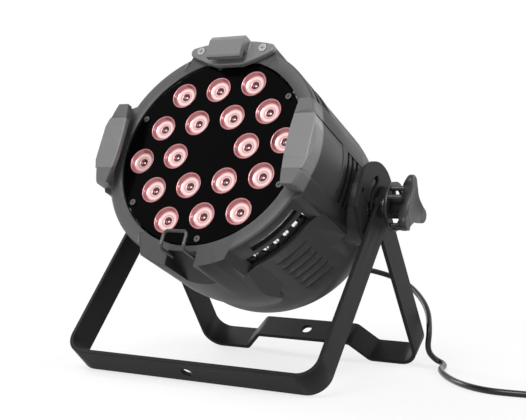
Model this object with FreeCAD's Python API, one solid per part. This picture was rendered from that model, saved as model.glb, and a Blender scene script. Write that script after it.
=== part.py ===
import FreeCAD, Part
import math
import os

os.makedirs("parts", exist_ok=True)

# LED par can light held between two bent-bar brackets that unfold into a floor stand.
# World frame: millimetres, +X to the light's left as it faces -Y, +Z up, floor at Z = 0.
# Pivot frame: the same directions, with the origin on the tilt axis in the middle of the light.
# Barrel frame: the head before it is tilted. The beam points along -Y, the origin is on the beam
# axis, and a distance "along" is measured forwards from the tilt axis, so along = -Y.

# ---- Stand ----
bar_width = 30.0
bar_thickness = 4.0
bar_bend = 16.5               # inside radius of the two big bends of each bracket
bar_end_round = 8.0
bar_above_pivot = 17.0
front_reach = 202.0           # from the pivot to the underside of the front crossbar
front_lean = 39.8             # degrees forwards of straight down
rear_reach = 196.0
rear_raise = 21.0             # step of the middle of the rear crossbar towards the light
rear_raise_half = 55.6        # half of the raised stretch
rear_slope = 20.0             # width of each sloping stretch beside it
rear_step_bend = 4.0
clamp_hole = 11.0               # clears an M10 bolt
spacer_thickness = 1.0        # washer between the two brackets
spacer_play = 0.1
spacer_radius = 13.0

# ---- Side plates of the rear bracket (angles and places in the bracket's own upright frame) ----
plate_radius = 46.0
plate_centre = (-13.0, 5.0)
slot_radius = 27.0
slot_half = 4.5
slot_start = 108.0            # tips of the slot, in degrees from +Y towards +Z with the stand open
slot_end = 242.0
key_half = 2.6                # half width of the guide key on the head that runs in the slot
key_start = 117.5
key_end = 172.5
plate_hole_radius = 2.5
plate_hole_place = (-24.9, 36.9)

# ---- Pivot ----
stud_radius = 5.0
running_clearance = 0.08
stud_socket = 10.8            # length of each stud in its boss
stud_engagement = 12.4        # length of each stud in the knob
boss_radius = 38.0
boss_height = 6.8             # pivot boss above the arm
boss_depth = 10.5             # how far the boss reaches into the barrel
hub_radius = 20.5
hub_height = 2.05
friction_thickness = 2.0
friction_play = 0.05
knob_washer = 1.5
knob_washer_radius = 11.0

# ---- Knob ----
knob_hub_radius = 11.5
knob_ring_inner = 18.5
knob_ring_outer = 23.5
knob_ring_gap = 5.4           # from the knob's inner end to its ring
knob_ring_thickness = 3.0
knob_end_gap = 7.0            # between the stud's end and the cap
knob_cap_thickness = 9.0
knob_lobe_place = 23.0
knob_lobe_radius = 7.5
knob_waist = 14.5
knob_first_lobe = 100.0       # degrees from +Y towards +Z
knob_post_radius = 2.4
insert_radius = 8.0

# ---- Head: barrel ----
beam_up = 23.05               # degrees that the beam points above level
axis_rise = 5.0               # beam axis above the tilt axis
shell_radius = 109.5
shell_wall = 3.0
shell_front = 70.0
shell_bend_start = -23.0      # where the rounded back begins
shell_back = -88.0
rear_opening = 54.6
rear_flange = 5.0
ledge_back = 56.0             # ledge inside the front edge that carries the air guard
ledge_front = 62.0
ledge_depth = 2.0
ring_step = 0.5               # the front ring stands this far out of the barrel
ring_wall = 4.5
ring_back = 87.5
ring_front = 112.0
ring_crest = 1.0
ring_lip_back = 108.0
ring_lip = 14.0               # inward reach of the ring's front lip
side_slot_back = 93.5         # four curved slots through the wall of the front ring
side_slot_front = 101.5
side_slot_start = 28.5
side_slot_sweep = 27.5
groove_pitch = 12.5           # fine grooves across the barrel between the arms
groove_first = 53.0
groove_count = 6
groove_half_sweep = 9.0
groove_depth = 0.7
groove_width = 1.0

# ---- Head: arms along the barrel ----
arm_height = 6.5              # outside of the arms above the barrel
arm_root = 2.3                # depth of the arms in the barrel's wall
arm_half = 41.75              # half width where the flank meets the outer curve
boss_half_front = 41.0        # narrower ends of the arms in front of the vent gap
boss_half_root = 47.6
side_arm_back = 16.0
long_arm_curve_start = 30.0   # where the top and bottom arms begin to curve in
long_arm_back = -20.0
long_arm_drop = 8.0
long_arm_corner = 25.0

# ---- Head: side clips and covers ----
clip_half = 41.5
clip_depth = 4.5              # floor of the filter channel below the barrel's outside
clip_lip_back = 124.0
clip_front = 130.0
clip_chamfer = 2.5
clip_lip_reach = 14.0         # lip beyond the channel's floor, in the middle
clip_lip_end_reach = 10.5     # the same at the ends of the clip
cover_half = 26.9
cover_seam = 0.1
cover_back = 66.2
cover_lift = 0.5              # underside of the cover above the barrel
cover_height = 7.0
cover_edge_height = 2.0
cover_ridge = 2.0
louvre_back = 21.0
louvre_front = 56.0
louvre_half = 25.5
louvre_cut = 1.0              # depth of the louvre's recess in the barrel's wall
louvre_places = (27.0, 37.5, 48.0)
louvre_width = 5.0
louvre_height = 7.0

# ---- Head: top clip, bottom notch and wire bail ----
top_clip_thickness = 6.0
top_clip_half = 45.0
top_clip_depth = 25.5
top_clip_rise = 3.5           # top edge of the clip above the barrel
top_clip_screw_drop = 9.0     # its screws below the top edge
top_block_half = 18.7
top_block_step = 2.5          # underside of the block above the clip's
top_screw_place = 34.5
notch_half = 15.5
notch_back = 66.0
notch_depth = 9.0             # cut into the barrel's outside
notch_cheek = 21.0
notch_cheek_back = 97.3
bail_wire = 1.6
bail_half = 12.0
bail_hinge_along = 106.0
bail_hinge_depth = 4.0        # hinge of the bail inside the barrel's outside
bail_front = 129.0
bail_rise = 16.8
bail_end = 19.5
bail_bend = 4.0
bail_play = 0.06

# ---- Head: face and lens lattice ----
face_gap = 1.5                # between the face plate and the ring's lip
face_back = 107.0
face_front = 110.0
lens_pitch = 38.0             # pitch of the hexagonal lattice of lenses
lens_turn = 7.8               # degrees that the lattice is turned about the beam
lens_radius = 13.3
lens_depth = 11.8
lens_recess = 0.4
face_screw_edge = 5.2         # from the plate's edge
face_screw_turn = 37.5
spacer_post_radius = 3.5
m3_radius = 1.5
m4_radius = 2.0
thread_clearance = 0.05

# ---- Head: inside ----
board_thickness = 1.6
led_board_back = 94.4
led_board_edge = 3.5          # board inside the face plate's edge
sink_edge = 1.5               # fins inside the face plate's edge
sink_back = 58.0
sink_base = 88.0
sink_sleeve = 3.0
fin_count = 36
fin_thickness = 1.6
sink_core = 16.0
ear_half = 8.0
ear_gap = 3.5                 # between the ears and the barrel's wall
ear_edge = 4.0                # screws from the ears' ends
lug_back = 76.0
guard_width = 4.4
guard_play = 0.3              # between the guard and the barrel's wall
tooth_root = 2.2              # teeth's roots inside the guard's edge
tooth_count = 54
tooth_length = 11.0            # forwards from the band's front edge
guard_front = 66.0             # the band ends a little inside the barrel's front edge
guard_gap_half = 10.0
chassis_radius = 80.0
chassis_thickness = 2.0
chassis_screw_place = 70.0
supply_size = (110.0, 36.0, 60.0)
supply_drop = 30.0
driver_size = (90.0, 50.0)
driver_height = 35.0
driver_standoff = 8.4

# ---- Head: rear panel ----
panel_radius = 62.0
panel_thickness = 3.0
panel_edge = 3.48              # barrel's back rim outside the panel
gasket_thickness = 1.0
gasket_inner = 55.0
panel_screw_place = 58.5
panel_boss_radius = 4.0
panel_boss_front = -76.0
window_size = (40.0, 16.0)
window_height = 36.0
button_height = 18.0
button_radius = 4.0
button_pitch = 14.0
button_travel = 0.6
dmx_flange = (26.0, 31.0)
dmx_height = -10.0
dmx_in_place = -28.0
dmx_out_place = 2.0
dmx_barrel = 11.6
dmx_recess = 9.5
dmx_depth = 12.0
gland_place = (40.0, -15.0)
gland_hex = 10.0              # half of the size across the flats
gland_thread = 7.8
relief_length = 23.0
fuse_place = (-10.0, -44.0)
fuse_radius = 8.0
eye_height = 53.5
eye_radius = 6.0
eye_wire = 2.0

# ---- Mains cord ----
cord_radius = 3.0
cord_first_run = 29.0
relief_end_radius = 4.1
coil_turn_radius = 36.0       # outer layer of turns
coil_inset = 0.3               # the wound ring's sides lie this far inside its outermost turns
coil_stub = 35.0              # straight lead from the coil's side to the point it is tangent at
tail_stub = 36.0
tail_angle = 4.0              # where the upper lead leaves the coil, in degrees round its middle
relief_plug_length = 28.0
plug_body = (26.0, 38.0, 21.0)
blade_size = (1.5, 17.5, 6.35)
blade_pitch = 12.7
ground_pin_radius = 2.4
ground_pin_length = 20.0
ground_pin_offset = 11.9       # below the middle of the two flat prongs

Vec = FreeCAD.Vector
ORIGIN = Vec(0, 0, 0)
X_AXIS = Vec(1, 0, 0)
Y_AXIS = Vec(0, 1, 0)
Z_AXIS = Vec(0, 0, 1)

# ---- Worked-out dimensions ----
lean = math.radians(front_lean)
pivot_height = front_reach * math.cos(lean) + bar_width / 2 * math.sin(lean)
ring_radius = shell_radius + ring_step
ring_lip_radius = ring_radius - ring_lip
shell_inner = shell_radius - shell_wall
shell_rim = panel_radius + panel_edge
shell_bend_length = shell_bend_start - shell_back
shell_bend_drop = shell_radius - shell_rim
shell_bend_radius = (shell_bend_length ** 2 + shell_bend_drop ** 2) / (2 * shell_bend_drop)
arm_radius = shell_radius + arm_height
arm_inner = shell_radius - arm_root
boss_face = arm_radius + boss_height
boss_root = shell_radius - boss_depth
stud_inner = boss_face - stud_socket
hub_face = boss_face + hub_height
rear_inner = hub_face + friction_thickness + friction_play
rear_half_width = rear_inner + bar_thickness
front_half_width = rear_half_width + spacer_play + spacer_thickness + bar_thickness
rear_lean = math.degrees(
    math.acos(pivot_height / math.hypot(rear_reach, bar_width / 2))
    + math.atan(bar_width / 2 / rear_reach)
)
bore_radius = stud_radius + running_clearance
knob_start = front_half_width + knob_washer + 0.1
knob_ring_back = knob_start + knob_ring_gap
knob_ring_front = knob_ring_back + knob_ring_thickness
stud_outer = knob_start + stud_engagement
knob_cap_back = stud_outer + knob_end_gap
knob_cap_front = knob_cap_back + knob_cap_thickness
clip_floor = shell_radius - clip_depth
clip_lip_middle = clip_floor - clip_lip_reach
clip_lip_end = clip_floor - clip_lip_end_reach
cover_floor = shell_radius + cover_lift
cover_crown = cover_floor + cover_height
cover_edge = cover_floor + cover_edge_height
louvre_floor = shell_radius - louvre_cut
louvre_top = louvre_floor + louvre_height
top_clip_high = shell_radius + top_clip_rise
top_clip_low = top_clip_high - top_clip_depth
top_clip_tip = top_clip_high - top_clip_screw_drop
top_block_low = top_clip_low + top_block_step
notch_roof = shell_radius - notch_depth
bail_hinge_drop = shell_radius - bail_hinge_depth
face_radius = ring_lip_radius - face_gap
face_screw_place = face_radius - face_screw_edge
led_board_radius = face_radius - led_board_edge
sink_radius = face_radius - sink_edge
ear_reach = shell_inner - ear_gap
ear_screw_place = ear_reach - ear_edge
guard_outer = shell_inner - guard_play
guard_inner = guard_outer - guard_width
tooth_outer = guard_outer - tooth_root
tooth_tip = guard_front + tooth_length
beyond_arms = arm_radius + 9
panel_back = shell_back - gasket_thickness - panel_thickness
panel_front = shell_back - gasket_thickness
lens_front = face_front - lens_recess
lens_back = lens_front - lens_depth
led_board_front = led_board_back + board_thickness


# ---- Outlines and solids ----
def outline(start, *steps):
    """Closed face in the XY plane. A step is an end point, or (point on an arc, end point)."""
    edges = []
    here = Vec(start[0], start[1], 0)
    first = here
    for step in steps:
        if isinstance(step[0], tuple):
            there = Vec(step[1][0], step[1][1], 0)
            edges.append(Part.Arc(here, Vec(step[0][0], step[0][1], 0), there).toShape())
        else:
            there = Vec(step[0], step[1], 0)
            edges.append(Part.LineSegment(here, there).toShape())
        here = there
    if (here - first).Length > 1e-6:
        edges.append(Part.LineSegment(here, first).toShape())
    return Part.Face(Part.Wire(edges))


def turned(start, *steps):
    """Solid turned about the beam axis; its outline is (radius, along) points."""
    face = outline(start, *steps)
    face.rotate(ORIGIN, X_AXIS, 180)
    return face.revolve(ORIGIN, Y_AXIS, 360)


def turned_part(first_angle, sweep, start, *steps):
    """Part of a turned solid, from first_angle through sweep degrees, 0 at +X and 90 at the top."""
    face = outline(start, *steps)
    face.rotate(ORIGIN, X_AXIS, 180)
    face.rotate(ORIGIN, Y_AXIS, -first_angle)
    return face.revolve(ORIGIN, Y_AXIS, -sweep)


def slab(back, front, start, *steps):
    """Prism along the beam between two distances; its outline is (across, outward) points."""
    face = outline(start, *steps)
    face.rotate(ORIGIN, X_AXIS, 90)
    face.translate(Vec(0, -back, 0))
    return face.extrude(Vec(0, back - front, 0))


def cross_slab(half, start, *steps):
    """Prism across the beam, between -half and half; its outline is (along, outward) points."""
    face = outline(start, *steps)
    face.rotate(ORIGIN, X_AXIS, 90)
    face.rotate(ORIGIN, Z_AXIS, -90)
    face.translate(Vec(-half, 0, 0))
    return face.extrude(Vec(2 * half, 0, 0))


def plan_slab(low, high, start, *steps):
    """Prism outwards between two distances from the axis; its outline is (across, along) points."""
    face = outline(start, *steps)
    face.rotate(ORIGIN, X_AXIS, 180)
    face.translate(Vec(0, 0, low))
    return face.extrude(Vec(0, 0, high - low))


def side_slab(near, far, start, *steps):
    """Prism across the light between two X values; its outline is (Y, Z) points."""
    face = outline(start, *steps)
    face.rotate(ORIGIN, X_AXIS, 90)
    face.rotate(ORIGIN, Z_AXIS, 90)
    face.translate(Vec(near, 0, 0))
    return face.extrude(Vec(far - near, 0, 0))


def block(left, right, back, front, low, high):
    return Part.makeBox(right - left, front - back, high - low, Vec(left, -front, low))


def rod(radius, back, front, across=0.0, outward=0.0):
    return Part.makeCylinder(radius, front - back, Vec(across, -front, outward), Y_AXIS)


def taper(back_radius, front_radius, back, front, across=0.0, outward=0.0):
    base = Vec(across, -front, outward)
    return Part.makeCone(front_radius, back_radius, front - back, base, Y_AXIS)


def cross_rod(radius, near, far, y=0.0, z=0.0):
    return Part.makeCylinder(radius, far - near, Vec(near, y, z), X_AXIS)


def tube(outer, inner, back, front):
    return rod(outer, back, front).cut(rod(inner, back - 1, front + 1))


def around(shape, angle):
    """A copy of a shape made at the top of the barrel, turned to angle about the beam."""
    copy = shape.copy()
    copy.rotate(ORIGIN, Y_AXIS, 90 - angle)
    return copy


def join(shapes):
    shapes = list(shapes)
    return shapes[0].multiFuse(shapes[1:]).removeSplitter()


def group(shapes):
    return Part.makeCompound(list(shapes))


def polar(radius, angle):
    return radius * math.cos(math.radians(angle)), radius * math.sin(math.radians(angle))


def across_middle(shape):
    """Mirror image on the other side of the light."""
    return shape.mirror(ORIGIN, X_AXIS)


def in_head(shape):
    """From the barrel frame to the pivot frame: lift to the beam axis, then tilt the beam up."""
    placed = shape.copy()
    placed.translate(Vec(0, 0, axis_rise))
    placed.rotate(ORIGIN, X_AXIS, -beam_up)
    return placed


def rounded_path(points, radii):
    """Wire through points, with a tangent arc of the given radius at each corner."""
    edges = []
    start = points[0]
    for before, corner, after, radius in zip(points, points[1:], points[2:], radii):
        into = (corner - before).normalize()
        away = (after - corner).normalize()
        half_turn = into.getAngle(away) / 2
        cut = radius * math.tan(half_turn)
        arc_start = corner - into * cut
        arc_end = corner + away * cut
        inward = (away - into).normalize()
        middle = corner + inward * (radius / math.cos(half_turn) - radius)
        edges.append(Part.LineSegment(start, arc_start).toShape())
        edges.append(Part.Arc(arc_start, middle, arc_end).toShape())
        start = arc_end
    edges.append(Part.LineSegment(start, points[-1]).toShape())
    return Part.Wire(edges)


def round_bar(path, radius):
    """Round bar or cord along a path."""
    start = path.Edges[0].Vertexes[0].Point
    direction = path.Edges[0].tangentAt(path.Edges[0].FirstParameter)
    ring = Part.Wire([Part.Circle(start, direction, radius).toShape()])
    return path.makePipeShell([ring], True, False)


def flat_bar(points, radii):
    """Bent flat bar along a path in the XZ plane that starts straight down."""
    path = rounded_path(points, radii)
    start = points[0]
    corners = []
    for across, deep in ((-1, -1), (1, -1), (1, 1), (-1, 1), (-1, -1)):
        corners.append(start + Vec(across * bar_thickness / 2, deep * bar_width / 2, 0))
    return path.makePipeShell([Part.makePolygon(corners)], True, False)


def screw(shank, length, head_radius, head_height, seat, across=0.0, outward=0.0):
    """Cross-head screw driven backwards along the beam, its head standing on the seat."""
    body = rod(shank, seat - length, seat, across, outward)
    head = rod(head_radius, seat, seat + head_height, across, outward)
    arm = head_radius * 0.55
    deep = seat + head_height * 0.5
    front = seat + head_height + 1
    cross = block(-arm, arm, deep, front, -0.4, 0.4)
    cross = cross.fuse(block(-0.4, 0.4, deep, front, -arm, arm))
    cross.translate(Vec(across, 0, outward))
    return body.fuse(head).cut(cross).removeSplitter()


def rear_screw(shank, length, head_radius, head_height, seat, across, outward):
    """The same screw driven forwards from behind."""
    turned_round = screw(shank, length, head_radius, head_height, 0)
    turned_round.rotate(ORIGIN, Z_AXIS, 180)
    turned_round.translate(Vec(across, -seat, outward))
    return turned_round


# ---- Stand ----
def drill_arms(bracket):
    reach = front_half_width + 1
    return bracket.cut(cross_rod(bore_radius, -reach, reach))


def round_arm_ends(bracket):
    edges = []
    for edge in bracket.Edges:
        box = edge.BoundBox
        if box.ZMin > bar_above_pivot - 0.01 and abs(box.XLength - bar_thickness) < 0.01:
            edges.append(edge)
    return bracket.makeFillet(bar_end_round, edges)


def make_front_bracket():
    half = front_half_width - bar_thickness / 2
    floor = -(front_reach - bar_thickness / 2)
    top = bar_above_pivot
    points = [Vec(-half, 0, top), Vec(-half, 0, floor), Vec(half, 0, floor), Vec(half, 0, top)]
    bend = bar_bend + bar_thickness / 2
    bar = round_arm_ends(flat_bar(points, [bend, bend]))
    bar = drill_arms(bar)
    bar = bar.cut(Part.makeCylinder(clamp_hole / 2, 20, Vec(0, 0, floor - 10)))
    bar.rotate(ORIGIN, X_AXIS, -front_lean)
    return bar


def arc_outline(radius, half, first, last):
    """Start and steps of a curved slot with round ends; first and last are its tips in degrees."""
    cap = math.degrees(half / radius)
    first_centre = first + cap
    last_centre = last - cap
    middle = (first + last) / 2

    def tip(angle, sign):
        base = polar(radius, angle)
        forward = polar(half, angle + 90 * sign)
        return base[0] + forward[0], base[1] + forward[1]

    start = polar(radius + half, first_centre)
    steps = (
        (polar(radius + half, middle), polar(radius + half, last_centre)),
        (tip(last_centre, 1), polar(radius - half, last_centre)),
        (polar(radius - half, middle), polar(radius - half, first_centre)),
        (tip(first_centre, -1), start),
    )
    return (start,) + steps


def make_side_plate():
    """Right side plate of the rear bracket, with the guide slot, in the upright frame."""
    y0, z0 = plate_centre
    lift = polar(plate_radius, 45)
    plate = side_slab(
        rear_inner,
        rear_half_width,
        (y0 + 0.6, z0 + plate_radius),
        ((y0 + lift[0], z0 + lift[1]), (y0 + plate_radius, z0)),
        ((y0 + plate_radius - 5, z0 - 18), (y0 + plate_radius - 18, z0 - 29)),
        (bar_width / 2, z0 - 40),
        (-bar_width / 2, z0 - 35),
        (y0 - 17, z0 - 27),
        (y0 - 34, z0 - 19),
        (y0 - 35.5, z0),
        (y0 - 32, z0 + 28),
    )
    slot = arc_outline(slot_radius, slot_half, slot_start - rear_lean, slot_end - rear_lean)
    plate = plate.cut(side_slab(rear_inner - 1, rear_half_width + 1, *slot))
    hole = plate_hole_place
    return plate.cut(cross_rod(plate_hole_radius, rear_inner - 1, rear_half_width + 1, *hole))


def make_rear_bracket():
    half = rear_half_width - bar_thickness / 2
    floor = -(rear_reach - bar_thickness / 2)
    foot = rear_raise_half + rear_slope
    arm_top = plate_centre[1] - 20
    left = [Vec(-half, 0, arm_top), Vec(-half, 0, floor), Vec(-foot, 0, floor)]
    left.append(Vec(-rear_raise_half, 0, floor + rear_raise))
    right = [Vec(-p.x, 0, p.z) for p in reversed(left)]
    bend = bar_bend + bar_thickness / 2
    step = rear_step_bend + bar_thickness / 2
    bar = flat_bar(left + right, [bend, step, step, step, step, bend])
    plate = make_side_plate()
    bar = bar.fuse(plate).fuse(across_middle(plate)).removeSplitter()
    bar = drill_arms(bar)
    raised = floor + rear_raise
    bar = bar.cut(Part.makeCylinder(clamp_hole / 2, 20, Vec(0, 0, raised - 10)))
    bar.rotate(ORIGIN, X_AXIS, rear_lean)
    return bar


def washer(radius, near, far):
    return cross_rod(radius, near, far).cut(cross_rod(bore_radius, near - 1, far + 1))


def washer_pair(radius, near, far):
    right = washer(radius, near, far)
    return group([right, across_middle(right)])


# ---- Knobs ----
def lobe_outline():
    """Outline of the three-lobed cap: round lobe ends joined by hollow flanks."""
    points = []
    start = None
    for number in range(3):
        angle = knob_first_lobe + 120 * number
        base = polar(knob_lobe_place, angle)
        side = polar(knob_lobe_radius, angle + 90)
        entry = (base[0] - side[0], base[1] - side[1])
        leave = (base[0] + side[0], base[1] + side[1])
        if start is None:
            start = entry
        else:
            points.append((polar(knob_waist, angle - 60), entry))
        points.append((polar(knob_lobe_place + knob_lobe_radius, angle), leave))
    points.append((polar(knob_waist, knob_first_lobe - 60), start))
    return (start,) + tuple(points)


def make_knob():
    """Right-hand knob: hub, open back ring on posts, and a three-lobed cap with a dished face."""
    cap = side_slab(knob_cap_back, knob_cap_front, *lobe_outline())
    edges = [e for e in cap.Edges if e.BoundBox.XMin > knob_cap_front - 0.01]
    cap = cap.makeFillet(2.5, edges)
    reach = knob_lobe_place + knob_lobe_radius
    flare = side_profile((knob_cap_back - 1, knob_ring_outer - 2),
                         (knob_cap_back + 5, reach + 2),
                         (knob_cap_back - 1, reach + 2))
    dish = Part.makeSphere(60, Vec(knob_cap_front + 60 - 3.0, 0, 0))
    cap = cap.cut(flare).cut(dish)
    pieces = [cap, cross_rod(knob_hub_radius, knob_start, knob_cap_back + 1)]
    pieces.append(cross_rod(knob_ring_outer, knob_ring_back, knob_ring_front).cut(
        cross_rod(knob_ring_inner, knob_ring_back - 1, knob_ring_front + 1)))
    middle = (knob_ring_inner + knob_ring_outer) / 2
    for number in range(6):
        angle = knob_first_lobe + 22 + 60 * number - (number % 2) * 28
        y, z = polar(middle - 1, angle)
        pieces.append(cross_rod(knob_post_radius, knob_ring_back + 1, knob_cap_back + 2, y, z))
    for number in range(3):
        spoke = Part.makeBox(3, knob_ring_inner + 2, 3, Vec(knob_ring_back, 0, -1.5))
        spoke.rotate(ORIGIN, X_AXIS, knob_first_lobe + 120 * number)
        pieces.append(spoke)
    knob = join(pieces)
    return knob.cut(cross_rod(insert_radius, knob_start - 1, stud_outer + 1))


def side_profile(start, *steps):
    """Solid turned about the tilt axis; its outline is (X, radius) points."""
    return outline(start, *steps).revolve(ORIGIN, X_AXIS, 360)


def make_insert():
    bush = cross_rod(insert_radius, knob_start, stud_outer + 1)
    return bush.cut(cross_rod(stud_radius + 0.06, knob_start - 1, stud_outer + 0.5))


# ---- Housing ----
def make_shell():
    bend_centre = shell_radius - shell_bend_radius
    inner_bend = shell_bend_radius - shell_wall
    inner = shell_inner
    flange_front = shell_back + rear_flange
    flange_drop = shell_bend_start - flange_front
    flange_outer = bend_centre + math.sqrt(inner_bend ** 2 - flange_drop ** 2)

    def on_bend(radius, degrees):
        across, down = polar(radius, degrees)
        return bend_centre + across, shell_bend_start - down

    return turned(
        (shell_rim, shell_back),
        (on_bend(shell_bend_radius, 30), (shell_radius, shell_bend_start)),
        (shell_radius, shell_front - 4),
        (shell_radius + 0.7, shell_front - 3.4),
        (shell_radius + 0.7, shell_front - 0.6),
        (shell_radius, shell_front),
        (inner, shell_front),
        (inner, ledge_front),
        (inner - ledge_depth, ledge_front),
        (inner - ledge_depth, ledge_back),
        (inner, ledge_back),
        (inner, shell_bend_start),
        (on_bend(inner_bend, 30), (flange_outer, flange_front)),
        (rear_opening, flange_front),
        (rear_opening, shell_back),
    )


def make_ring():
    inner = ring_radius - ring_wall
    ring = turned(
        (inner, ring_back),
        (ring_radius, ring_back),
        (ring_radius, ring_front - 1),
        (ring_radius - 2, ring_front + ring_crest),
        (ring_lip_radius, ring_front),
        (ring_lip_radius, ring_lip_back),
        (inner, ring_lip_back),
    )
    slots = []
    for quarter in range(4):
        first = 90 * quarter + side_slot_start + (90 - 2 * side_slot_start - side_slot_sweep) * (
            quarter % 2)
        slots.append(turned_part(first, side_slot_sweep, (inner - 2, side_slot_back),
                                 (ring_radius + 2, side_slot_back),
                                 (ring_radius + 2, side_slot_front),
                                 (inner - 2, side_slot_front)))
    return ring.cut(group(slots))


def arm_section():
    """Start and steps of the broad section of an arm behind the vent gap."""
    shoulder = math.sqrt(arm_radius ** 2 - arm_half ** 2)
    return ((-arm_half - 22, shoulder - 22), (-arm_half + 10, shoulder + 10),
            (arm_half - 10, shoulder + 10), (arm_half + 22, shoulder - 22))


def boss_section():
    """Start and steps of the narrower section in front of the vent gap's rear edge."""
    slope = (boss_half_root - boss_half_front) / 16
    return ((-boss_half_root - 12 * slope, arm_radius - 31), (-boss_half_front + 4 * slope, arm_radius + 7),
            (boss_half_front - 4 * slope, arm_radius + 7), (boss_half_root + 12 * slope, arm_radius - 31))


def make_long_arm():
    """Top arm: it curves down to the barrel at its rounded back end."""
    span = long_arm_curve_start - long_arm_back
    curve = (span ** 2 + long_arm_drop ** 2) / (2 * long_arm_drop)
    half_span = long_arm_curve_start - span / 2
    half_drop = curve - math.sqrt(curve ** 2 - (span / 2) ** 2)
    skin = turned(
        (arm_inner, ring_front),
        (arm_radius, ring_front),
        (arm_radius, long_arm_curve_start),
        ((arm_radius - half_drop, half_span), (arm_radius - long_arm_drop, long_arm_back)),
        (arm_inner, long_arm_back),
    )
    end = long_arm_back + 2
    wide = 66
    corner = long_arm_corner
    cut_in = corner * (1 - math.sqrt(0.5))
    inset = arm_half - corner
    plan = plan_slab(
        arm_inner - 27, beyond_arms,
        (-wide, shell_front),
        (-wide, end + corner + 30),
        (-arm_half - 6, end + corner),
        ((-arm_half - 6 + cut_in, end + cut_in), (-inset, end)),
        (inset, end),
        ((arm_half + 6 - cut_in, end + cut_in), (arm_half + 6, end + corner)),
        (wide, end + corner + 30),
        (wide, shell_front),
    )
    rear = slab(long_arm_back - 1, shell_front, *arm_section()).common(plan)
    front = slab(shell_front - 1, ring_front, *boss_section())
    return skin.common(rear.fuse(front))


def make_side_arm():
    """Side arm, made at the top of the barrel: it runs on forwards into the clip."""
    skin = turned(
        (arm_inner, ring_front),
        (arm_radius, ring_front),
        (arm_radius, side_arm_back),
        (arm_inner, side_arm_back),
    )
    rear = slab(side_arm_back - 1, shell_front, *arm_section())
    front = slab(shell_front - 1, ring_front, *boss_section())
    arm = skin.common(rear.fuse(front))
    hook = turned(
        (clip_floor, ring_front - 5),
        (arm_radius, ring_front - 5),
        (arm_radius, clip_front - 2 * clip_chamfer),
        (arm_radius - clip_chamfer, clip_front),
        (clip_lip_middle - 11, clip_front),
        (clip_lip_middle - 11, clip_lip_back),
        (clip_floor, clip_lip_back),
    )
    hook_area = slab(
        ring_front - 5, clip_front + 1,
        (-clip_half, clip_lip_end),
        (-clip_half, arm_radius + 2),
        (clip_half, arm_radius + 2),
        (clip_half, clip_lip_end),
        ((0, clip_lip_middle), (-clip_half, clip_lip_end)),
    )
    arm = arm.fuse(hook.common(hook_area))
    louvre = block(-louvre_half, louvre_half, louvre_back, louvre_front, louvre_floor,
                   beyond_arms)
    arm = arm.cut(louvre)
    ribs = []
    for place in louvre_places:
        rib = block(-louvre_half - 0.5, louvre_half + 0.5, place - louvre_width / 2,
                    place + louvre_width / 2, louvre_floor - 1, beyond_arms)
        crown = turned((clip_floor, place - 4), (louvre_top, place - 4), (louvre_top, place + 4),
                       (clip_floor, place + 4))
        ribs.append(rib.common(crown))
    return join([arm] + ribs)


def make_cover_pocket():
    """Room for a side cover: a pocket in the arm and the middle of the clip's lip."""
    seam = cover_half + cover_seam
    pocket = block(-seam, seam, cover_back - cover_seam, clip_front + 1, cover_floor,
                   beyond_arms)
    mouth = block(-seam, seam, clip_lip_back, clip_front + 1, clip_lip_middle - 11, cover_floor)
    return pocket.fuse(mouth)


def make_pivot_boss():
    """Right-hand pivot boss with its hub and the guide key, in the barrel frame."""
    boss = cross_rod(boss_radius, boss_root, boss_face, 0, -axis_rise)
    hub = cross_rod(hub_radius, boss_face - 1, hub_face, 0, -axis_rise)
    key = side_slab(boss_face - 1, rear_half_width - 1.4,
                    *arc_outline(slot_radius, key_half, key_start + beam_up, key_end + beam_up))
    key.translate(Vec(0, 0, -axis_rise))
    bore = cross_rod(stud_radius, stud_inner, boss_face + 10, 0, -axis_rise)
    return join([boss, hub, key]).cut(bore)


def make_grooves():
    cutters = []
    for quarter in range(4):
        for number in range(groove_count):
            place = groove_first - groove_pitch * number
            cutters.append(turned_part(
                45 + 90 * quarter - groove_half_sweep, 2 * groove_half_sweep,
                (shell_radius - groove_depth, place - groove_width / 2),
                (shell_radius + 1, place - groove_width / 2),
                (shell_radius + 1, place + groove_width / 2),
                (shell_radius - groove_depth, place + groove_width / 2)))
    return group(cutters)


def ear_angles():
    return [90 * quarter for quarter in range(4)]


def panel_screw_spots():
    return [polar(panel_screw_place, 60 * number) for number in range(6)]


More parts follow.
